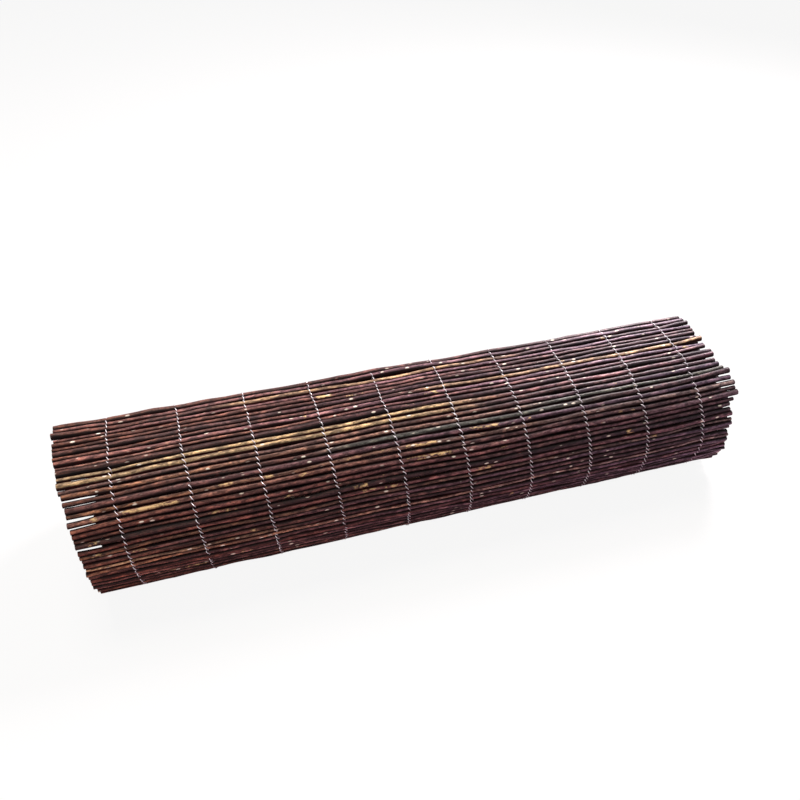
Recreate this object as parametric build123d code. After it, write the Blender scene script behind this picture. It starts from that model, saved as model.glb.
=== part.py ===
from build123d import *
import math
import os

# A roll of bark-on willow screening, lying on the ground with its free edge up at the back.
# X runs along the rods, Y goes away from the viewer and Z is up, in millimetres.

# Rods: butts and tips are laid in turn, so every other rod is thinner.
rod_length = 1000.0
thick_rod = 9.7
rod_thinning = 1.2
thin_rod = thick_rod - rod_thinning
rod_bite = 0.5  # how far neighbouring rods press into each other
outer_flat_count = 7  # flats round each rod's outer side on the outer turn
hidden_flat_count = 2

# Roll: a spiral about the core. A reach is the distance from the core to a rod's middle.
edge_reach = 128.6
edge_angle = 62.0
core_reach = 46.0  # the mat ends at the core, where the reach has come down to this
turn_slack = 4.7  # room between the thick rods of neighbouring turns
turn_spacing = thick_rod + turn_slack
top_dip = 0.160  # share of the reach lost where the slack top lies low
top_dip_angle = 94.0
behind_dip_angle = 51.0
before_dip_angle = 96.0
ground_sag = 0.248  # share of the reach lost where the roll rests
ground_angle = 270.0
ground_sag_angle = 66.0
ground_flat = 0.745  # share of the reach at which the ground stops the rods

# The mat is rolled a little askew, so its ends and wires lean this far along X per mm.
lean_up = -0.0634
lean_back = -0.0213
inner_recess_left = 32.0
inner_recess_right = -4.0

# Binding wires
wire_count = 10
wire_inset = 66.4  # from the rods' left ends to the first wire
last_wire_inset = 58.8  # from the last wire to the rods' right ends
wire_spacing = (rod_length - wire_inset - last_wire_inset) / (wire_count - 1)
wire_width = 2.4
wire_thickness = 1.4
wire_seat = 0.3
hook_flat_count = 4

# Gaps: rods that stand apart at the ends, and one slit under the top rods. Each is named by
# the rod above it, counted from the free edge.
end_gap_length = 30.0
end_gap_width = 2.0
left_gaps = (3, 14, 17, 18, 20, 41, 55, 71)
right_gaps = (0, 9, 15, 17, 21, 23, 30, 47, 66)
slit_width = 3.0
slit_rod_index = 1
slit_first_wire_number = 4
slit_last_wire_number = 6

walk_angle_step = 0.25


def bump(offset, span):
    """One at the middle, falling smoothly to nothing at the span."""
    return math.cos(math.pi / 2 * min(abs(offset) / span, 1.0)) ** 2


def ring_reach(angle):
    return edge_reach - turn_spacing * (angle - edge_angle) / 360


def spiral_point(angle):
    """Middle of the mat at this angle: (y, z) about the core."""
    around = angle % 360
    dip_offset = around - top_dip_angle
    dip_span = behind_dip_angle if dip_offset < 0 else before_dip_angle
    sag = ground_sag * bump(around - ground_angle, ground_sag_angle)
    reach = ring_reach(angle) * (1 - top_dip * bump(dip_offset, dip_span) - sag)
    floor = -ground_flat * ring_reach(angle - around + ground_angle)
    y = reach * math.cos(math.radians(angle))
    z = max(reach * math.sin(math.radians(angle)), floor)
    return y, z


def rod_radius(index):
    return (thin_rod if index % 2 else thick_rod) / 2


def place_rods():
    """Walk the spiral and set a rod down at each pitch: a list of (y, z, angle)."""
    pitch = (thick_rod + thin_rod) / 2 - rod_bite
    rods = []
    angle = edge_angle
    here = spiral_point(angle)
    walked = 0.0
    while ring_reach(angle) > core_reach:
        if walked >= len(rods) * pitch:
            rods.append((here[0], here[1], angle))
        angle += walk_angle_step
        ahead = spiral_point(angle)
        walked += math.dist(here, ahead)
        here = ahead
    return rods


def outward(rods, index):
    """Unit normal of the mat at a rod, pointing away from the core."""
    before = rods[max(index - 1, 0)]
    after = rods[min(index + 1, len(rods) - 1)]
    length = math.dist(before[:2], after[:2])
    return (after[1] - before[1]) / length, (before[0] - after[0]) / length


def on_rod(rods, index, distance, turn=0.0):
    """Point at a distance from a rod's middle, turned from its outward normal."""
    ny, nz = outward(rods, index)
    c, s = math.cos(math.radians(turn)), math.sin(math.radians(turn))
    y, z = rods[index][:2]
    return y + distance * (ny * c - nz * s), z + distance * (ny * s + nz * c)


def valley(rods, index, side):
    """Where the outlines of this rod and the next one cross: side 1 is outer, -1 inner."""
    (y1, z1), (y2, z2) = rods[index][:2], rods[index + 1][:2]
    r1, r2 = rod_radius(index), rod_radius(index + 1)
    apart = math.dist((y1, z1), (y2, z2))
    dy, dz = (y2 - y1) / apart, (z2 - z1) / apart
    along = (apart ** 2 + r1 ** 2 - r2 ** 2) / (2 * apart)
    rise = side * math.sqrt(max(r1 ** 2 - along ** 2, 0))
    return y1 + along * dy + rise * dz, z1 + along * dz - rise * dy


def ridge(rods, index, start, end, flats):
    """Flats round one side of a rod, from start to end, without the start itself."""
    y, z = rods[index][:2]
    first = math.atan2(start[1] - z, start[0] - y)
    sweep = (math.atan2(end[1] - z, end[0] - y) - first) % (2 * math.pi)
    r = rod_radius(index)
    angles = [first + sweep * k / flats for k in range(1, flats)]
    return [(y + r * math.cos(a), z + r * math.sin(a)) for a in angles] + [end]


def leaning(x, point):
    """Put a point of the roll's section on the leaning plane at x."""
    y, z = point
    return x + lean_back * y + lean_up * z, y, z


def mat_wall(rods, first, last, x_from, x_to, outer_flats, inner_flats):
    """Wall of rods from first to last, drawn out along X between two leaning ends."""
    edge_tip = on_rod(rods, first, rod_radius(first), -90)
    core_tip = on_rod(rods, last, rod_radius(last), 90)
    at_edge, at_core = first == 0, last == len(rods) - 1
    outline = [edge_tip if at_edge else valley(rods, first - 1, 1)]
    for i in range(first, last + 1):
        end = core_tip if at_core and i == last else valley(rods, i, 1)
        outline += ridge(rods, i, outline[-1], end, outer_flats)
    if not at_core:
        outline.append(valley(rods, last, -1))
    for i in range(last, first - 1, -1):
        end = edge_tip if at_edge and i == first else valley(rods, max(i - 1, 0), -1)
        outline += ridge(rods, i, outline[-1], end, inner_flats)
    if at_edge:
        outline.pop()
    profile = Face(Wire.make_polygon([leaning(x_from, point) for point in outline]))
    return extrude(profile, amount=x_to - x_from, dir=(1, 0, 0))


def gap_box(rods, index, x_from, x_to, width):
    """Slot through the outer turn, between this rod and the next one."""
    y = (rods[index][0] + rods[index + 1][0]) / 2
    z = (rods[index][1] + rods[index + 1][1]) / 2
    ny, nz = outward(rods, index)
    seat = Plane(origin=leaning((x_from + x_to) / 2, (y, z)), x_dir=(1, 0, 0), z_dir=(0, ny, nz))
    return seat * Box(x_to - x_from, width, thick_rod + rod_bite)


def wire_x(number):
    return wire_inset + (number - 1) * wire_spacing


def outer_turn_count(rods):
    """Rods in the first turn, before the mat runs in under its own edge."""
    return sum(1 for rod in rods if rod[2] < edge_angle + 360)


def rod_mat(rods):
    """All turns of the mat as one ridged wall, with its gaps."""
    outer = outer_turn_count(rods)
    mat = mat_wall(rods, 0, outer - 1, 0, rod_length, outer_flat_count, hidden_flat_count)
    mat += mat_wall(rods, outer, len(rods) - 1, inner_recess_left, rod_length - inner_recess_right,
                    hidden_flat_count, hidden_flat_count)
    past = 2 * thick_rod
    gaps = [gap_box(rods, i, -past, end_gap_length, end_gap_width) for i in left_gaps]
    gaps += [gap_box(rods, i, rod_length - end_gap_length, rod_length + past, end_gap_width)
             for i in right_gaps]
    gaps.append(gap_box(rods, slit_rod_index, wire_x(slit_first_wire_number) + wire_width,
                        wire_x(slit_last_wire_number) - wire_width, slit_width))
    return mat - gaps


def binding_wire(rods, number):
    """One twisted wire, hooked round the edge rod and drawn over the outer turn."""
    step = 180 / hook_flat_count
    swell = 1 / math.cos(math.radians(step / 2))  # keeps the hook's flats clear of the rod
    under = wire_seat
    over = wire_seat + wire_thickness
    seats = range(0, outer_turn_count(rods) - 3, 2)
    hook = [on_rod(rods, 0, (rod_radius(0) + under) * swell, -step * k) for k in range(hook_flat_count, 0, -1)]
    lower = [on_rod(rods, i, rod_radius(i) + under) for i in seats]
    upper = [on_rod(rods, i, rod_radius(i) + over) for i in reversed(seats)]
    back = [on_rod(rods, 0, (rod_radius(0) + over) * swell, -step * k) for k in range(1, hook_flat_count + 1)]
    x_from = wire_x(number) - wire_width / 2
    profile = Face(Wire.make_polygon([leaning(x_from, p) for p in hook + lower + upper + back]))
    return extrude(profile, amount=wire_width, dir=(1, 0, 0))


rods = place_rods()
parts = {"rod_mat": rod_mat(rods)}
for number in range(1, wire_count + 1):
    parts[f"binding_wire_{number:02d}"] = binding_wire(rods, number)

box = Compound(list(parts.values())).bounding_box()
to_origin = Pos(-box.center().X, -box.center().Y, -box.min.Z)
os.makedirs("parts", exist_ok=True)
for name, solid in parts.items():
    export_step(to_origin * solid, f"parts/{name}.step")
print(len(rods), "rods,", outer_turn_count(rods), "of them in the outer turn")
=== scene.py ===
import bpy
import math
import numpy as np
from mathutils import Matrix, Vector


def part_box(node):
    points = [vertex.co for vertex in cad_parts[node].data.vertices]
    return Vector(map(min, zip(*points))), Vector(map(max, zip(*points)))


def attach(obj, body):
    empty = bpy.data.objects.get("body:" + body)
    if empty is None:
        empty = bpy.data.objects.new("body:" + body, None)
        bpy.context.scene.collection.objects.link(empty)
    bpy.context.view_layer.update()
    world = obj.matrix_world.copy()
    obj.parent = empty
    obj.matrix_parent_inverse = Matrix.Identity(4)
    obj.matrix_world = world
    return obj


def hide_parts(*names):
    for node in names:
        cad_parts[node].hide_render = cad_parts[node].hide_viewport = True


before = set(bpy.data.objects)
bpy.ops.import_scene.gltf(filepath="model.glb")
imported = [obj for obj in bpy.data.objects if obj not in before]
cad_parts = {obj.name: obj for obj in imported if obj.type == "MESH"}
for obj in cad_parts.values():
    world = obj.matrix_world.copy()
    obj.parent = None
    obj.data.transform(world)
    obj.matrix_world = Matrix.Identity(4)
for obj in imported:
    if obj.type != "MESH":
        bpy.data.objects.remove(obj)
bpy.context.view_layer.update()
mm = 0.001

# The roll's section, in millimetres and degrees about its core, before it is set down on the ground.
# A reach is a distance from the core. Dips, sags and the flat are shares of it.
roll = {
    "rodLength": 1000.0,
    "matLength": 2950.0,
    "thickRod": 9.7,
    "edgeReach": 128.6,
    "edgeAngle": 62.0,
    "turnSpacing": 14.4,
    "topDip": 0.160,
    "topDipAngle": 94.0,
    "topDipBehind": 51.0,
    "topDipBefore": 96.0,
    "groundSag": 0.248,
    "groundAngle": 270.0,
    "groundSagSpan": 66.0,
    "groundFlat": 0.745,
    "leanUp": -0.0634,  # the ends and the wires lean this far along x for each mm up
    "leanBack": -0.0213,
    "innerRecessLeft": 32.0,
    "innerPastRight": 4.0,
    "turnsWalked": 8,  # more than the mat needs
    "walkStep": 0.25,
    "tangentReach": 3.0,
}


def bump(offset, span):
    # one at the middle, falling as a squared cosine to nothing at the span
    return np.cos(np.pi / 2 * np.minimum(np.abs(offset) / span, 1)) ** 2


def bell(offset, half):
    # one at the middle, falling as a bell curve: exp(-(offset / half) squared)
    return np.exp(-(offset / half) ** 2)


def ringReach(angle):
    # the reach comes down evenly, by the spacing of the turns in each turn
    return roll["edgeReach"] - roll["turnSpacing"] * (angle - roll["edgeAngle"]) / 360


def spiralPoint(angle):
    # reach = ring * (1 - dip over the top - sag at the ground); height is stopped at the ground
    around = angle % 360
    dipOffset = around - roll["topDipAngle"]
    dipSpan = np.where(dipOffset < 0, roll["topDipBehind"], roll["topDipBefore"])
    shape = 1 - roll["topDip"] * bump(dipOffset, dipSpan)
    shape = shape - roll["groundSag"] * bump(around - roll["groundAngle"], roll["groundSagSpan"])
    reach = ringReach(angle) * shape
    floor = -roll["groundFlat"] * ringReach(angle - around + roll["groundAngle"])
    y = reach * np.cos(np.radians(angle))
    z = np.maximum(reach * np.sin(np.radians(angle)), floor)
    return np.stack([y, z], -1)


def walkSpiral():
    # angle, point and walked length along the spiral, at even steps of the angle
    lastAngle = roll["edgeAngle"] + 360 * roll["turnsWalked"]
    angle = np.arange(roll["edgeAngle"], lastAngle, roll["walkStep"])
    point = spiralPoint(angle)
    step = np.hypot(*np.diff(point, axis=0).T)
    walked = np.concatenate([[0], np.cumsum(step)])
    return angle, point, walked


spiralAngle, spiralYz, spiralWalked = walkSpiral()


def spiralAt(walked):
    # point of the spiral at a walked length
    return np.stack([np.interp(walked, spiralWalked, spiralYz[:, k]) for k in (0, 1)], -1)


def sectionAt(walked):
    # middle of the mat at a walked length, the unit tangent through points a little before and after
    # it, and the outward normal square to that; before the free edge the middle runs straight on
    behind = np.maximum(walked - roll["tangentReach"], 0)
    chord = spiralAt(walked + roll["tangentReach"]) - spiralAt(behind)
    tangent = chord / np.hypot(chord[..., 0], chord[..., 1])[..., None]
    normal = np.stack([tangent[..., 1], -tangent[..., 0]], -1)
    middle = spiralAt(walked) + tangent * np.minimum(walked, 0)[..., None]
    return middle, tangent, normal


def leanAt(yz):
    # shift along x = lean back * y + lean up * z
    return roll["leanBack"] * yz[..., 0] + roll["leanUp"] * yz[..., 1]


def setDown():
    # shift from the section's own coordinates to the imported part's, from the box of its mat
    low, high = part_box("rod_mat")
    first = spiralYz[spiralAngle < roll["edgeAngle"] + 360]
    radius = roll["thickRod"] / 2
    leftmost = leanAt(first).min() - radius * math.hypot(roll["leanUp"], roll["leanBack"])
    return np.array([low.x / mm - leftmost, low.y / mm - (first[:, 0].min() - radius),
                     low.z / mm - (first[:, 1].min() - radius)])


shift = setDown()
print("section set down at", shift.round(1))


def srgb(hexColour):
    # linear colour of an sRGB hex value
    value = np.array([int(hexColour[i:i + 2], 16) for i in (1, 3, 5)]) / 255
    return np.where(value <= 0.04045, value / 12.92, ((value + 0.055) / 1.055) ** 2.4)


def makeMesh(name, points, faces, smooth, materials, materialIndex):
    # points in millimetres about the core, x along the rods
    mesh = bpy.data.meshes.new(name)
    mesh.from_pydata(((points + shift) * mm).tolist(), [], faces)
    mesh.polygons.foreach_set("use_smooth", smooth)
    mesh.polygons.foreach_set("material_index", materialIndex)
    mesh.update()
    for material in materials:
        mesh.materials.append(material)
    piece = bpy.data.objects.new(name, mesh)
    bpy.context.scene.collection.objects.link(piece)
    return piece


def gridFaces(count, along, around):
    # quads along and round every rod or strand, and a fan of triangles at both its ends
    base = np.arange(count)[:, None, None] * (along * around + 2)
    j = np.arange(around)
    beside = (j + 1) % around
    ring = base + np.arange(along - 1)[:, None] * around
    quads = np.stack([ring + j, ring + around + j, ring + around + beside, ring + beside], -1)
    start, end = base[:, 0], base[:, 0] + (along - 1) * around
    pole = start + along * around
    fans = [np.stack(np.broadcast_arrays(pole, start + j, start + beside), -1),
            np.stack(np.broadcast_arrays(pole + 1, end + beside, end + j), -1)]
    return quads.reshape(-1, 4), np.concatenate(fans).reshape(-1, 3)


def perPoint(rings, poles):
    # values in the order of a piece's points: each rod's or strand's rings, then its two end middles
    size = rings.shape[-1]
    return np.concatenate([rings.reshape(len(rings), -1, size), poles], 1).reshape(-1, size)


def smoothNoise(random, x, waves, longest):
    # one curve for each rod: a sum of sines of random phase, whose size falls with their length
    fall, level = 0.8, 1.6
    total = np.zeros(x.shape)
    for k in range(1, waves + 1):
        phase = random.uniform(0, 2 * np.pi, (len(x), 1))
        total = total + np.sin(2 * np.pi * k * x / longest + phase) / k ** fall
    return total / level


# Camera: fitted to the ten wires and both ends of the roll in the square photograph.
camera = {
    "focalPixels": 754.2,
    "framePixels": 800,
    "sensor": 36.0,
    "down": 40.67,  # degrees
    "turned": 16.04,
    "place": (-2.7012, -8.5328, 8.5932),  # in wire spacings, from the core and the middle of the wires
}


def cameraPlace():
    # in millimetres about the core
    x, y, z = (value * wires["spacing"] for value in camera["place"])
    return np.array([x + wires["inset"] + (wires["count"] - 1) / 2 * wires["spacing"], y, z])


def pixelOf(points):
    # across and down = half frame + focal length * (offset along right or down) / (offset ahead)
    down, turned = math.radians(camera["down"]), math.radians(camera["turned"])
    ahead = np.array([math.cos(down) * math.sin(turned), math.cos(down) * math.cos(turned),
                      -math.sin(down)])
    right = np.array([math.cos(turned), -math.sin(turned), 0])
    offset = points - cameraPlace()
    scale = camera["focalPixels"] / (offset @ ahead)
    half = camera["framePixels"] / 2
    return half + scale * (offset @ right), half + scale * (offset @ np.cross(ahead, right))


# The rods, in millimetres. Spreads are shares of the value itself, and rods are counted from the
# free edge.
rods = {
    "pitch": 8.6,
    "fill": 0.92,  # share of the pitch that a rod fills
    "unevenness": 0.13,
    "mostUneven": 1.8,  # times the unevenness
    "edgeRods": (2.4, 1.8, 1.0),  # the rods at the free edge are this much thicker
    "taper": 0.13,
    "swell": 0.06,
    "swellWaves": (7, 330),  # number of waves, and the longest one
    "knots": 9,
    "knot": 0.45,
    "knotHalf": 7,
    "sharedDrift": ((1.3, 730, 0.05, 0.6), (0.78, 310, 0.11, 0)),  # size, wave, phase a rod, phase
    "ownDrift": 0.85,
    "driftWaves": (5, 420),
    "bow": 0.9,
    "bowWaves": (4, 260),
    "edgeSag": 3.6,  # the free edge hangs this much lower at its middle than at its ends
    "edgeSagMiddle": 450,  # x
    "edgeSagShare": 0.8,  # this share of it is lower at the middle, and the rest higher at the ends
    "edgeSagRods": 5,
    "lip": 0.4,  # the last ring of points stands this far from the one before it
    "barkReach": 900,  # each rod's bark starts anywhere in this length of the pattern
    "seed": 11,
}

# The rods' ends, and the stretches past the outermost wires, where the rods are loose. Millimetres
# and rods.
ends = {
    "leftLean": 6.0,  # the cut at the left end is this early at the free edge
    "leftLeanRod": 26,  # and this late here
    "leftEvenRod": 48,  # and even from here on
    "rightShort": 6.0,
    "rightLong": (16, 17, 3.4),  # size, rod in the middle, and rods to each side
    "rightNotch": (6, 28, 4.5),
    "leftRagged": 0.8,
    "rightRagged": 1.8,
    "innerRaggedLeft": 10,
    "innerRaggedRight": 14,
    "leftGaps": (3, 12.5, 14.1, 16.4, 17.4, 18.9, 41, 55, 71),  # between this rod and the next
    "rightGaps": (0, 9, 15, 17, 21, 23, 30, 47, 66),
    "gapSpread": 1.3,
    "gapRods": 1.6,
    "leftDrift": 0.35,
    "rightDrift": 0.8,
    "leftBow": 0.5,
    "rightBow": 1.0,
    "rightOverhang": 59,
    "looseness": 1.3,  # power with which the looseness grows past the last wire
}

# The slit between the second and the third rod, and how far each rod there moves, in millimetres.
slit = {
    "start": 3.2,  # in wire spacings from the first wire
    "length": 1.9,
    "along": (-0.8, -1.0, 4.6, 3.2, 2.0, 1.0, 0.0),
    "up": (1.6, 1.8, -0.8, -0.4, 0.0, 0.0, 0.0),
}

# Rings along each rod, points round it, seeds, and whether it is the turn that shows.
outerTurn = {"along": 90, "around": 12, "seed": 21, "barkSeed": 71, "outer": True}
innerTurns = {"along": 18, "around": 8, "seed": 22, "barkSeed": 72, "outer": False}


def rodLayout():
    # rods of uneven width laid edge to edge along the mat: where each lies, and its radius
    random = np.random.default_rng(rods["seed"])
    many = int(roll["matLength"] / rods["pitch"])
    spread = np.clip(random.normal(0, 1, many), -rods["mostUneven"], rods["mostUneven"])
    width = rods["pitch"] * (1 + rods["unevenness"] * spread)
    width[:len(rods["edgeRods"])] = rods["pitch"] + np.array(rods["edgeRods"])
    width = width * rods["pitch"] / width.mean()
    walked = np.cumsum(width) - width / 2 - width[0] / 2
    return walked, width * rods["fill"] / 2


rodWalked, rodRadius = rodLayout()
outerCount = int(np.sum(np.interp(rodWalked, spiralWalked, spiralAngle) < roll["edgeAngle"] + 360))
print("rods", len(rodWalked), "in the outer turn", outerCount)


def rodAt(walked):
    # rod nearest to this walked length
    return int(np.argmin(np.abs(rodWalked - walked)))


def gapAfter(number):
    # rod just before the place where this gap of even rods would be
    between = (rodWalked[1:] + rodWalked[:-1]) / 2
    return int(np.argmin(np.abs(between - (number + 0.5) * rods["pitch"])))


def leftEnds(index):
    # the left end goes from early to late as half a cosine wave over the first rods, then to even
    lean, even = ends["leftLeanRod"], ends["leftEvenRod"]
    swing = -ends["leftLean"] * np.cos(np.pi * np.minimum(index, lean) / lean)
    return swing * np.clip((even - index) / (even - lean), 0, 1)


def rightEnds(index):
    # the right end = - short + a bell curve where it is long - a bell curve where it is notched
    (longer, longRod, longHalf), (shorter, shortRod, shortHalf) = ends["rightLong"], ends["rightNotch"]
    return (-ends["rightShort"] + longer * bell(index - longRod, longHalf)
            - shorter * bell(index - shortRod, shortHalf))


def rodLengths(random, index, turn):
    # share of each rod's length and x at every ring: even steps, with a narrow one at both ends
    number = index[:, 0]
    left = leftEnds(number) + random.normal(0, ends["leftRagged"], len(number))
    right = roll["rodLength"] + rightEnds(number) + random.normal(0, ends["rightRagged"], len(number))
    if not turn["outer"]:
        left = left + roll["innerRecessLeft"] + random.uniform(0, ends["innerRaggedLeft"], len(number))
        cutBack = random.uniform(0, ends["innerRaggedRight"], len(number))
        right = right - cutBack + roll["innerPastRight"]
    lip = rods["lip"] / roll["rodLength"]
    inside = np.clip(np.linspace(0, 1, turn["along"] - 2), lip, 1 - lip)
    share = np.sort(np.concatenate([[0, 1], inside]))
    return share, left[:, None] + (right - left)[:, None] * share


def rodWander(random, index, x):
    # drift along the mat = long sines that run on from rod to rod + smooth noise of each rod's own;
    # bow off the mat = smooth noise
    drift = 0
    for size, wave, phaseStep, phase in rods["sharedDrift"]:
        drift = drift + size * np.sin(2 * np.pi * x / wave + index * phaseStep + phase)
    drift = drift + rods["ownDrift"] * smoothNoise(random, x, *rods["driftWaves"])
    return drift, rods["bow"] * smoothNoise(random, x, *rods["bowWaves"])


def rodThickness(random, index, x, share):
    # radius = the rod's own * (1 + smooth swell) * (1 + taper), butts and tips in turn, + knots as
    # bell curves
    radius = rodRadius[index] * (1 + rods["swell"] * smoothNoise(random, x, *rods["swellWaves"]))
    radius = radius * (1 + rods["taper"] * (2 * share - 1) * np.where(index % 2, 1, -1))
    knotAt = random.uniform(0, 1, (len(x), rods["knots"])) * roll["rodLength"]
    for k in range(rods["knots"]):
        radius = radius + rods["knot"] * bell(x - knotAt[:, k:k + 1], rods["knotHalf"])
    return radius


def looseEnds(random, index, x):
    # past the outermost wires rods drift from each gap, less the further the gap is, and drift and
    # bow at random; both grow from the wire on as a power of the share of the overhang
    pastWires = x - wires["inset"] - (wires["count"] - 1) * wires["spacing"]
    left = np.clip((wires["inset"] - x) / wires["inset"], 0, 1) ** ends["looseness"]
    right = np.clip(pastWires / ends["rightOverhang"], 0, 1) ** ends["looseness"]
    drift = 0
    for gaps, loose in ((ends["leftGaps"], left), (ends["rightGaps"], right)):
        for gap in gaps:
            away = index - gapAfter(gap) - 0.5
            push = np.exp(-np.abs(away) / ends["gapRods"]) * np.sign(away)
            drift = drift + ends["gapSpread"] * push * loose
    drift = drift + random.normal(0, ends["leftDrift"], (len(x), 1)) * left
    drift = drift + random.normal(0, ends["rightDrift"], (len(x), 1)) * right
    bow = random.normal(0, 1, (len(x), 1)) * (ends["leftBow"] * left + ends["rightBow"] * right)
    return drift, bow


def slitShift(index, x):
    # the rods round the slit move by the two rows of the dictionary * a squared sine along the slit
    start = wires["inset"] + wires["spacing"] * slit["start"]
    length = wires["spacing"] * slit["length"]
    swell = np.sin(np.pi * np.clip((x - start) / length, 0, 1)) ** 2
    index = np.minimum(index, len(slit["along"]) - 1)
    return np.array(slit["along"])[index] * swell, np.array(slit["up"])[index] * swell


def edgeSag(index, x):
    # a parabola along the rods, which fades from the free edge on
    across = (x - rods["edgeSagMiddle"]) / rods["edgeSagMiddle"]
    fade = np.exp(-index / rods["edgeSagRods"])
    return rods["edgeSag"] * (rods["edgeSagShare"] - across ** 2) * fade


def rodGrid(index, turn):
    # a rod: point(u, v) = middle(u) + radius(u) * (normal cos v + tangent sin v), wandering in u;
    # its bark's own coordinates are x and the ring's, shifted at random
    random = np.random.default_rng(turn["seed"])
    share, x = rodLengths(random, index, turn)
    drift, bow = rodWander(random, index, x)
    radius = rodThickness(random, index, x, share)
    if turn["outer"]:
        looseDrift, looseBow = looseEnds(random, index, x)
        aside, lifted = slitShift(index, x)
        drift = drift + looseDrift + aside + edgeSag(index, x)
        bow = bow + looseBow + lifted
    middle, tangent, normal = (value[:, None] for value in sectionAt(rodWalked[index[:, 0]]))
    yz = middle + tangent * drift[..., None] + normal * bow[..., None]
    v = 2 * np.pi * np.arange(turn["around"]) / turn["around"]
    out = normal[..., None, :] * np.cos(v)[:, None] + tangent[..., None, :] * np.sin(v)[:, None]
    ring = yz[:, :, None] + out * radius[..., None, None]
    xRing = np.broadcast_to(x[..., None], ring.shape[:3])
    points = np.concatenate([(xRing + leanAt(middle)[..., None])[..., None], ring], -1)
    bark = np.stack([xRing, np.cos(v) * radius[..., None], np.sin(v) * radius[..., None]], -1)
    return points, bark + random.uniform(0, rods["barkReach"], (len(x), 1, 1, 3))


# Each rod's bark. Levels and tints multiply the bark's colour, and lengths are in millimetres.
barks = {
    "colours": {
        "chocolate": "#765145",
        "redBrown": "#734a40",
        "purpleBrown": "#6c4d48",
        "darkBrown": "#5c3e38",
        "olive": "#98785a",
        "tan": "#8d6a53",
        "slate": "#575049",
    },
    "shares": {
        "chocolate": 0.33,
        "redBrown": 0.12,
        "purpleBrown": 0.22,
        "darkBrown": 0.17,
        "tan": 0.16,
    },
    "levels": (0.40, 1.02),
    "unevenness": 0.16,
    "unevenWaves": (6, 300),  # number of waves, and the longest one
    # partly the bark's own colour and partly painted light: warm bark at the left end, a painted cool
    # sheen of the light at the right end
    "leftBarkAndLightTint": (0.94, 0.67, 0.61),
    "rightBarkAndLightTint": (0.73, 0.83, 1.34),
    "chosenLevel": 0.84,
    "chosenFades": (60, 120),  # where a chosen bark starts and where it ends
    "scuffs": 3,  # at most, on each rod, besides those of the photograph
    "scuffHalf": (4, 22),
    "scuffStrength": (0, 0.75),
    "scuffShare": 0.5,
}
# rods that stand out: way along the mat from its free edge, bark, and x from and to
chosenBarks = ((94.6, "olive", -60, 640), (103.2, "olive", -60, 600), (127.0, "slate", 640, 1100),
               (135.5, "slate", 330, 820), (82.0, "redBrown", -60, 420), (163.0, "tan", 100, 420),
               (230.0, "tan", -60, 300), (20.0, "tan", 200, 700), (155.0, "redBrown", -60, 500),
               (112.0, "darkBrown", -60, 700), (60.0, "tan", 500, 1100))
# places where the skin is scuffed to the wood, as the photograph shows them: pixel across and down,
# half length in mm, strength
scuffs = ((149, 505, 44, 0.9), (98, 516, 7, 0.8), (95, 542, 16, 0.6), (223, 488, 12, 1.0),
          (226, 512, 24, 0.6), (184, 566, 36, 0.6), (241, 552, 12, 0.6), (252, 527, 7, 0.6),
          (170, 443, 7, 0.5), (271, 400, 14, 0.8), (324, 396, 14, 0.9), (304, 420, 10, 0.6),
          (273, 478, 11, 0.9), (306, 472, 13, 0.8), (347, 461, 16, 0.6), (364, 484, 16, 0.7),
          (372, 490, 22, 0.6), (291, 498, 8, 0.7), (275, 490, 12, 0.6), (318, 514, 12, 0.5),
          (418, 447, 30, 0.8), (429, 455, 40, 0.8), (484, 431, 34, 0.7), (482, 467, 19, 0.8),
          (531, 420, 8, 0.7), (392, 487, 20, 0.6), (512, 492, 6, 0.7), (502, 449, 4, 0.8),
          (627, 409, 9, 0.6), (629, 433, 6, 0.7), (692, 417, 5, 0.5), (686, 348, 3, 0.9))


def usualBarks(random, count):
    # one of the usual barks for each rod, picked by its share, at a level of its own
    colours = np.array([srgb(barks["colours"][kind]) for kind in barks["shares"]])
    kinds = random.choice(len(colours), count, p=list(barks["shares"].values()))
    return colours[kinds] * random.uniform(*barks["levels"], (count, 1))


def randomScuffs(random, x):
    # strength * bell curve along the rod, and the strongest of them where they meet
    column = (len(x), 1)
    scuffed = np.zeros(x.shape)
    for k in range(barks["scuffs"]):
        middle = random.uniform(0, roll["rodLength"], column)
        half = random.uniform(*barks["scuffHalf"], column)
        strength = random.uniform(*barks["scuffStrength"], column)
        strength = strength * (random.uniform(0, 1, column) < barks["scuffShare"])
        scuffed = np.maximum(scuffed, strength * bell(x - middle, half))
    return scuffed


def seenScuffs(scuffed, points, index):
    # each scuff of the photograph goes where a rod that faces the camera comes nearest to its pixel,
    # as strength * exp(-(distance / half length) to the fourth)
    x = points[..., 0, 0]
    axis = points.mean(2)
    across, below = pixelOf(axis)
    normal = sectionAt(rodWalked[index[:, 0]])[2]
    facesCamera = np.einsum("ijk,ik->ij", (cameraPlace() - axis)[..., 1:], normal) >= 0
    for pixelAcross, pixelDown, half, strength in scuffs:
        away = np.where(facesCamera, np.hypot(across - pixelAcross, below - pixelDown), np.inf)
        i, j = np.unravel_index(np.argmin(away), away.shape)
        scuffed[i] = np.maximum(scuffed[i], strength * np.exp(-((x[i] - x[i, j]) / half) ** 4))


def shadeBarks(random, colour, x):
    # colour = own bark * (1 + smooth noise) * tint, which goes evenly from the left end to the right;
    # the tint is partly the bark's own colour and partly painted light, the cool sheen of the light on
    # the right end
    uneven = barks["unevenness"] * smoothNoise(random, x, *barks["unevenWaves"])
    left, right = np.array(barks["leftBarkAndLightTint"]), np.array(barks["rightBarkAndLightTint"])
    tint = left + (right - left) * np.clip(x / roll["rodLength"], 0, 1)[..., None]
    return colour[:, None] * (1 + uneven[..., None]) * tint


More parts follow.
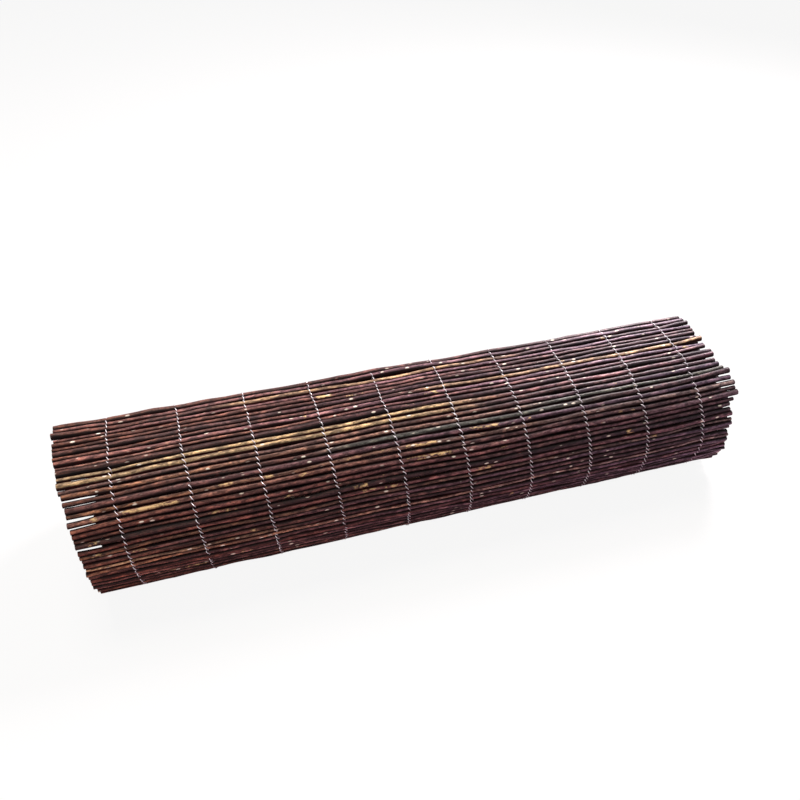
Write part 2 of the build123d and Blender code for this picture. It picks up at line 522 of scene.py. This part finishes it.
def chooseBarks(colour, x, first):
    # the chosen bark takes the place of the usual one between its two x, fading in and out
    fadeIn, fadeOut = barks["chosenFades"]
    for walked, kind, start, end in chosenBarks:
        i = rodAt(walked) - first
        if 0 <= i < len(x):
            share = np.clip((x[i] - start) / fadeIn, 0, 1) * np.clip((end - x[i]) / fadeOut, 0, 1)
            chosen = barks["chosenLevel"] * srgb(barks["colours"][kind])
            colour[i] = colour[i] + share[:, None] * (chosen - colour[i])


def addAttribute(piece, name, kind, field, rings, poles):
    # one value for each point of the piece
    layer = piece.data.attributes.new(name, kind, "POINT")
    layer.data.foreach_set(field, np.asarray(perPoint(rings, poles), np.float32).ravel())


def makeRods(name, first, last, turn, materials):
    # rods from first up to last as one piece: the bark on their sides, the cut wood on their ends
    index = np.arange(first, last)[:, None]
    points, bark = rodGrid(index, turn)
    quads, fans = gridFaces(len(index), turn["along"], turn["around"])
    smooth = np.arange(len(quads) + len(fans)) < len(quads)
    piece = makeMesh(name, perPoint(points, points[:, [0, -1]].mean(2)), quads.tolist() + fans.tolist(),
                     smooth, materials, np.where(smooth, 0, 1))
    random = np.random.default_rng(turn["barkSeed"])
    x = points[..., 0, 0]
    colour = usualBarks(random, len(x))
    scuffed = randomScuffs(random, x)
    if turn["outer"]:
        seenScuffs(scuffed, points, index)
    colour = shadeBarks(random, colour, x)
    chooseBarks(colour, x, first)
    colour = np.concatenate([colour, np.ones(x.shape + (1,))], -1)
    bark = bark * mm
    grid = points.shape[:3]
    rings, poles = grid + (1,), (len(x), 2, 1)
    # cos of the angle round each rod, one on its outer side; the bark paints shade between the rods and
    # a highlight on the crown from it
    facing = np.cos(2 * np.pi * np.arange(turn["around"]) / turn["around"])[:, None]
    addAttribute(piece, "barkPlace", "FLOAT_VECTOR", "vector", bark, bark[:, [0, -1]].mean(2))
    addAttribute(piece, "barkColour", "FLOAT_COLOR", "color",
                 np.broadcast_to(colour[:, :, None], grid + (4,)), colour[:, [0, -1]])
    addAttribute(piece, "facing", "FLOAT", "value", np.broadcast_to(facing, rings), np.ones(poles))
    addAttribute(piece, "fromPith", "FLOAT", "value", np.ones(rings), np.zeros(poles))
    addAttribute(piece, "scuff", "FLOAT", "value",
                 np.broadcast_to(scuffed[:, :, None, None], rings), scuffed[:, [0, -1], None])
    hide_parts("rod_mat")
    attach(piece, "root")


def addNode(tree, kind, inputs=None, out=0, **settings):
    # each input is a value, or the output of another node that is linked to it
    node = tree.nodes.new(kind)
    for name, value in settings.items():
        setattr(node, name, value)
    for socket, value in (inputs or {}).items():
        if isinstance(value, bpy.types.NodeSocket):
            tree.links.new(value, node.inputs[socket])
        else:
            node.inputs[socket].default_value = value
    return node.outputs[out]


def newMaterial(name):
    # a material, its node tree and its shader
    material = bpy.data.materials.new(name)
    material.use_nodes = True
    tree = material.node_tree
    return material, tree, tree.nodes["Principled BSDF"]


# Bark: marks are the size of one spot along and across the rod in millimetres, and tints multiply
# the rod's own colour.
skin = {
    "marks": {"streak": (45, 2.4), "blotch": (21, 8.3), "grain": (8.3, 2.4), "patch": (11, 4.8),
              "torn": (9, 3.8), "pore": (13.3, 5.3)},
    "noises": {"streak": (3.0, 0.6), "blotch": (2.0, 0.5), "grain": (4.0, 0.7), "patch": (3.0, 0.65),
               "torn": (4.0, 0.65)},  # detail and roughness
    "ranges": {  # pattern, its value from and to, and the level that this becomes from and to
        "streaked": ("streak", 0.38, 0.70, 0.0, 1.0),
        "blotched": ("blotch", 0.48, 0.70, 0.0, 1.0),
        "ridged": ("grain", 0.38, 0.64, 0.0, 1.0),
        "stained": ("patch", 0.50, 0.62, 0.0, 0.8),
        "bare": ("peeled", 0.76, 0.90, 0.0, 1.0),
        "inPore": ("poreAway", 0.30, 0.16, 0.0, 1.0),
        "hasPore": ("porePick", 0.84, 0.88, 0.0, 1.0),
        # crown: share from the painted shade on a rod's sides to the painted highlight on its crown
        "crown": ("facing", 0.66, 1.0, 0.0, 1.0),
        "rough": ("streak", 0.3, 0.7, 0.26, 0.50),
        "dull": ("facing", 0.5, 0.9, 0.45, 0.0),
    },
    "darkTint": (0.22, 0.19, 0.20, 1),
    "lightTint": (1.7, 1.65, 1.45, 1),
    "furrowTint": (0.45, 0.42, 0.42, 1),
    "ridgeTint": (1.6, 1.6, 1.6, 1),
    # painted shade on the sides where rods meet, and a painted highlight on each rod's crown
    "paintedValleyShade": (0.10, 0.015, 0.02, 1),
    "paintedCrownHighlight": (2.30, 2.85, 3.05, 1),
    "wood": "#b18a60",
    "pore": "#c4ad9c",
    "scuffWeight": 0.45,  # what a full scuff adds to the torn pattern, which is peeled where it is high
    "grainWeight": 0.35,  # share of the grain in the relief, beside the streaks
    "specular": 0.17,
    "bumpStrength": 0.5,
    "bumpDepth": 0.6,  # mm
}
colourMix = {"out": 2, "data_type": "RGBA"}  # a Mix node's sockets 6, 7 and output 2 are its colours


def willowBark():
    # dried bark left on: satin skin in browns, darker streaks along the rod, pale pores, and scuffs
    # where the skin has peeled to orange-tan wood, with painted shade between the rods and a painted
    # highlight on each rod's crown
    material, tree, shader = newMaterial("driedWillowBark")
    place = addNode(tree, "ShaderNodeAttribute", out="Vector", attribute_name="barkPlace")
    base = addNode(tree, "ShaderNodeAttribute", out="Color", attribute_name="barkColour")
    scuff = addNode(tree, "ShaderNodeAttribute", out="Fac", attribute_name="scuff")
    pattern = {"facing": addNode(tree, "ShaderNodeAttribute", out="Fac", attribute_name="facing")}
    at = {}
    for name, (along, across) in skin["marks"].items():
        scale = (1 / (along * mm), 1 / (across * mm), 1 / (across * mm))
        at[name] = addNode(tree, "ShaderNodeVectorMath", {0: place, 1: scale}, operation="MULTIPLY")
    for name, (detail, roughness) in skin["noises"].items():
        pattern[name] = addNode(tree, "ShaderNodeTexNoise", {"Vector": at[name], "Scale": 1.0,
                                "Detail": detail, "Roughness": roughness}, "Fac")
    pattern["peeled"] = addNode(tree, "ShaderNodeMath", {0: scuff, 1: skin["scuffWeight"],
                                2: pattern["torn"]}, operation="MULTIPLY_ADD")
    pattern["poreAway"] = addNode(tree, "ShaderNodeTexVoronoi", {"Vector": at["pore"], "Scale": 1.0,
                                  "Randomness": 1.0}, "Distance")
    poreCell = pattern["poreAway"].node.outputs["Color"]
    pattern["porePick"] = addNode(tree, "ShaderNodeSeparateColor", {0: poreCell})
    level = {}
    for name, (source, low, high, becomesLow, becomesHigh) in skin["ranges"].items():
        level[name] = addNode(tree, "ShaderNodeMapRange", {0: pattern[source], 1: low, 2: high,
                              3: becomesLow, 4: becomesHigh})
    pore = addNode(tree, "ShaderNodeMath", {0: level["inPore"], 1: level["hasPore"]},
                   operation="MULTIPLY")
    dark, light = (addNode(tree, "ShaderNodeMix", {0: 1.0, 6: base, 7: skin[tint]},
                   blend_type="MULTIPLY", **colourMix) for tint in ("darkTint", "lightTint"))
    ribs = addNode(tree, "ShaderNodeMix", {0: level["ridged"], 6: skin["furrowTint"],
                   7: skin["ridgeTint"]}, **colourMix)
    # painted light: the crown of a rod gets a painted highlight, and the sides that touch the next rods
    # get painted shade
    paintedShadeAndHighlight = addNode(tree, "ShaderNodeMix", {0: level["crown"], 6: skin["paintedValleyShade"],
                   7: skin["paintedCrownHighlight"]}, **colourMix)
    colour = base
    for blend, share, over in (("MIX", level["streaked"], dark), ("MIX", level["blotched"], light),
                               ("MULTIPLY", 1.0, ribs), ("MIX", level["stained"], dark),
                               ("MIX", level["bare"], (*srgb(skin["wood"]), 1)),
                               ("MIX", pore, (*srgb(skin["pore"]), 1)), ("MULTIPLY", 1.0, paintedShadeAndHighlight)):
        colour = addNode(tree, "ShaderNodeMix", {0: share, 6: colour, 7: over}, blend_type=blend,
                         **colourMix)
    tree.links.new(colour, shader.inputs["Base Color"])
    shader.inputs["Specular IOR Level"].default_value = skin["specular"]
    roughness = addNode(tree, "ShaderNodeMath", {0: level["rough"], 1: level["dull"]}, operation="ADD")
    tree.links.new(roughness, shader.inputs["Roughness"])
    relief = addNode(tree, "ShaderNodeMath", {0: pattern["grain"], 1: skin["grainWeight"],
                     2: pattern["streak"]}, operation="MULTIPLY_ADD")
    raised = addNode(tree, "ShaderNodeBump", {"Height": relief, "Strength": skin["bumpStrength"],
                     "Distance": skin["bumpDepth"] * mm})
    tree.links.new(raised, shader.inputs["Normal"])
    return material


# Sawn ends. The ring's limits are values of its sine, and the others are distances from the pith as
# shares of the radius.
sawnEnd = {
    "grain": 1.1,  # mm
    "ringTurns": 22.0,  # radians of the growth rings' sine from the pith to the bark
    "wood": ("#8b6f52", "#c9ae8b"),
    "layers": {  # colour, and the limits between which it goes from nothing to full
        "ring": ("#86694c", 0.2, 1.6),
        "pith": ("#5b4331", 0.24, 0.16),
        "rim": ("#4a342a", 0.80, 0.92),
    },
    "barkShare": 0.2,
    "roughness": 0.85,
}


def cutWillow():
    # sawn end of a dried rod: pale greyish wood with faint rings, a darker pith and a thin dark rim
    material, tree, shader = newMaterial("cutWillowEnd")
    base = addNode(tree, "ShaderNodeAttribute", out="Color", attribute_name="barkColour")
    place = addNode(tree, "ShaderNodeAttribute", out="Vector", attribute_name="barkPlace")
    fromPith = addNode(tree, "ShaderNodeAttribute", out="Fac", attribute_name="fromPith")
    grain = addNode(tree, "ShaderNodeTexNoise", {"Vector": place, "Scale": 1 / (sawnEnd["grain"] * mm),
                    "Detail": 2.0}, "Fac")
    turns = addNode(tree, "ShaderNodeMath", {0: fromPith, 1: sawnEnd["ringTurns"]},
                    operation="MULTIPLY")
    ring = addNode(tree, "ShaderNodeMath", {0: turns}, operation="SINE")
    source = {"ring": ring, "pith": fromPith, "rim": fromPith}
    dark, pale = ((*srgb(colour), 1) for colour in sawnEnd["wood"])
    colour = addNode(tree, "ShaderNodeMix", {0: grain, 6: dark, 7: pale}, **colourMix)
    for name, (over, low, high) in sawnEnd["layers"].items():
        share = addNode(tree, "ShaderNodeMapRange", {0: source[name], 1: low, 2: high})
        colour = addNode(tree, "ShaderNodeMix", {0: share, 6: colour, 7: (*srgb(over), 1)}, **colourMix)
    colour = addNode(tree, "ShaderNodeMix", {0: sawnEnd["barkShare"], 6: colour, 7: base}, **colourMix)
    tree.links.new(colour, shader.inputs["Base Color"])
    shader.inputs["Roughness"].default_value = sawnEnd["roughness"]
    return material


zinc = {
    "bright": "#eeeaee",
    "dull": "#aaa4ac",
    "patch": 4.5,  # mm
    "dullFrom": 0.4,
    "dullTo": 0.7,
    "metallic": 0.85,
    "roughness": (0.3, 0.55),
}


def galvanisedWire():
    # zinc-coated drawn wire: bright, slightly mauve grey with duller patches
    material, tree, shader = newMaterial("galvanisedWire")
    place = addNode(tree, "ShaderNodeTexCoord", out="Object")
    patch = addNode(tree, "ShaderNodeTexNoise", {"Vector": place, "Scale": 1 / (zinc["patch"] * mm),
                    "Detail": 3.0}, "Fac")
    share = addNode(tree, "ShaderNodeMapRange", {0: patch, 1: zinc["dullFrom"], 2: zinc["dullTo"]})
    colour = addNode(tree, "ShaderNodeMix", {0: share, 6: (*srgb(zinc["bright"]), 1),
                     7: (*srgb(zinc["dull"]), 1)}, **colourMix)
    smoothest, roughest = zinc["roughness"]
    roughness = addNode(tree, "ShaderNodeMapRange", {0: patch, 3: smoothest, 4: roughest})
    tree.links.new(colour, shader.inputs["Base Color"])
    tree.links.new(roughness, shader.inputs["Roughness"])
    shader.inputs["Metallic"].default_value = zinc["metallic"]
    return material


# The wires, in millimetres. Each is two strands, woven over and under each rod of the outer turn.
wires = {
    "count": 10,
    "spacing": 97.2,
    "inset": 66.4,
    "strand": 1.1,
    "clearance": 0.1,
    "leastSquare": 0.6,  # of a strand's distance from the mat's middle, before it changes sides
    "crossing": 4,  # how steeply a strand changes sides
    "slant": (0.8, 2.0),  # how far a strand crosses sideways, by the fourth rod and from the twelfth on
    "slantRods": (4, 12),
    "wobble": 0.7,
    "tail": 1.1,  # pitches past the edge rod
    "pastTurn": 6,  # rods woven past the outer turn
    "samples": 10,  # along each rod
    "around": 6,
    "seed": 4,
}


def strandPaths(number):
    # a strand hugs a rod's outer side at even t, its inner side at odd t, and the other strand does
    # the reverse: its distance from the mat's middle is the chord of a circle round that rod, and it
    # changes sides steeply, as tanh of a cosine, between two rods
    side = np.array([[1], [-1]])
    random = np.random.default_rng(wires["seed"] + number)
    crossed = outerCount + wires["pastTurn"]
    t = np.arange(-wires["tail"], crossed, 1 / wires["samples"])
    walked = np.interp(t, np.arange(len(rodWalked)), rodWalked) + np.minimum(t, 0) * rods["pitch"]
    nearest = np.clip(np.round(t), 0, len(rodWalked) - 1).astype(int)
    away = walked - rodWalked[nearest]
    reach = rodRadius[nearest] + wires["strand"] / 2 + wires["clearance"]
    chord = np.sqrt(np.maximum(reach ** 2 - away ** 2, wires["leastSquare"]))
    radial = side * chord * np.tanh(wires["crossing"] * np.cos(np.pi * t))
    wobble = np.interp(t, np.arange(-2, crossed + 1), random.normal(0, wires["wobble"], crossed + 3))
    slant = np.interp(t, wires["slantRods"], wires["slant"])
    sideways = side * slant * np.sin(np.pi * t) + wobble
    middle, tangent, normal = sectionAt(walked)
    yz = middle + normal * radial[..., None]
    x = wires["inset"] + (number - 1) * wires["spacing"] + leanAt(middle) + sideways
    return np.concatenate([x[..., None], yz], -1)


def tube(paths, radius, around):
    # circle of the radius carried along each path, square to it
    tangent = np.gradient(paths, axis=-2)
    tangent = tangent / np.linalg.norm(tangent, axis=-1, keepdims=True)
    side = np.cross(tangent, [1.0, 0.0, 0.0])
    side = side / np.linalg.norm(side, axis=-1, keepdims=True)
    other = np.cross(tangent, side)
    v = 2 * np.pi * np.arange(around) / around
    circle = side[..., None, :] * np.cos(v)[:, None] + other[..., None, :] * np.sin(v)[:, None]
    return paths[..., None, :] + radius * circle


def makeWire(number, material):
    # both strands as one piece
    paths = strandPaths(number)
    rings = tube(paths, wires["strand"] / 2, wires["around"])
    quads, fans = gridFaces(len(paths), paths.shape[1], wires["around"])
    faces = quads[:, ::-1].tolist() + fans[:, ::-1].tolist()  # its circles run the other way round
    piece = makeMesh(f"twistedWire{number:02d}", perPoint(rings, paths[:, [0, -1]]), faces,
                     np.ones(len(faces), bool), [material], np.zeros(len(faces), int))
    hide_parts(f"binding_wire_{number:02d}")
    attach(piece, "root")


rodMaterials = [willowBark(), cutWillow()]
makeRods("outerRods", 0, outerCount, outerTurn, rodMaterials)
makeRods("innerRods", outerCount, len(rodWalked), innerTurns, rodMaterials)
print("rods made")

wireMaterial = galvanisedWire()
for number in range(1, wires["count"] + 1):
    makeWire(number, wireMaterial)
print("wires made")


def makeCamera():
    # the photograph's camera, as a lens on a square sensor
    data = bpy.data.cameras.new("camera")
    data.sensor_width = camera["sensor"]
    data.lens = camera["focalPixels"] * camera["sensor"] / camera["framePixels"]
    eye = bpy.data.objects.new("camera", data)
    eye.location = (cameraPlace() + shift) * mm
    eye.rotation_euler = (math.radians(90 - camera["down"]), 0, -math.radians(camera["turned"]))
    bpy.context.scene.collection.objects.link(eye)
    bpy.context.scene.camera = eye


light = {
    "floor": "#f6f5f4",
    "floorBounce": "#c8a6b4",  # what the floor throws back on the object
    "floorGlow": 0.9,  # share of plain white in what the camera sees of the floor
    "floorHalf": 8.0,  # metres
    "floorRoughness": 0.9,
    "worldLevel": 0.16,
    "aimHeight": 0.1,  # all lamps look at this height over the origin
    "lamps": {  # x, y, z, size in metres, watts, colour
        "backLamp": (1.35, 1.25, 1.6, 0.7, 98.0, "#fff3f6"),
        "topLamp": (-0.5, 0.75, 2.1, 1.0, 29.0, "#fff2e8"),
        "frontLamp": (-1.0, -1.9, 1.3, 1.4, 10.0, "#fff0e6"),
    },
}
white = (1, 1, 1, 1)


def makeLamp(name, x, y, z, size, watts, colour):
    # a disk that looks at the middle of the object
    data = bpy.data.lights.new(name, "AREA")
    data.shape = "DISK"
    data.size = size
    data.energy = watts
    data.color = srgb(colour)
    lamp = bpy.data.objects.new(name, data)
    lamp.location = (x, y, z)
    tilt = math.atan2(math.hypot(x, y), z - light["aimHeight"])
    lamp.rotation_euler = (tilt, 0, math.atan2(y, x) + math.pi / 2)
    bpy.context.scene.collection.objects.link(lamp)


def makeFloor():
    # a wide pale floor that takes the shadow: almost white to the camera, mauve to the object
    half = light["floorHalf"]
    mesh = bpy.data.meshes.new("floor")
    mesh.from_pydata([(-half, -half, 0), (half, -half, 0), (half, half, 0), (-half, half, 0)], [],
                     [(0, 1, 2, 3)])
    floor = bpy.data.objects.new("floor", mesh)
    bpy.context.scene.collection.objects.link(floor)
    material, tree, shader = newMaterial("paleFloor")
    seen = addNode(tree, "ShaderNodeLightPath", out="Is Camera Ray")
    colour = addNode(tree, "ShaderNodeMix", {0: seen, 6: (*srgb(light["floorBounce"]), 1),
                     7: (*srgb(light["floor"]), 1)}, **colourMix)
    tree.links.new(colour, shader.inputs["Base Color"])
    shader.inputs["Roughness"].default_value = light["floorRoughness"]
    glow = addNode(tree, "ShaderNodeEmission", {"Color": white, "Strength": 1.0})
    share = addNode(tree, "ShaderNodeMath", {0: seen, 1: light["floorGlow"]}, operation="MULTIPLY")
    both = addNode(tree, "ShaderNodeMixShader", {0: share, 1: shader.outputs[0], 2: glow})
    tree.links.new(both, tree.nodes["Material Output"].inputs["Surface"])
    floor.data.materials.append(material)


def makeSky():
    # white where it is seen, straight or mirrored, and dim where it lights the object
    world = bpy.data.worlds.new("sky")
    world.use_nodes = True
    tree = world.node_tree
    background = tree.nodes["Background"]
    seen = addNode(tree, "ShaderNodeLightPath", out="Is Camera Ray")
    rays = seen.node.outputs
    for kind in ("Is Glossy Ray", "Is Transmission Ray"):
        seen = addNode(tree, "ShaderNodeMath", {0: seen, 1: rays[kind]}, operation="MAXIMUM")
    level = addNode(tree, "ShaderNodeMapRange", {0: seen, 3: light["worldLevel"], 4: 1.0})
    background.inputs["Color"].default_value = white
    tree.links.new(level, background.inputs["Strength"])
    bpy.context.scene.world = world


makeCamera()
makeFloor()
makeSky()
for name, values in light["lamps"].items():
    makeLamp(name, *values)
bpy.context.scene.view_settings.view_transform = "Standard"
print("stage made")
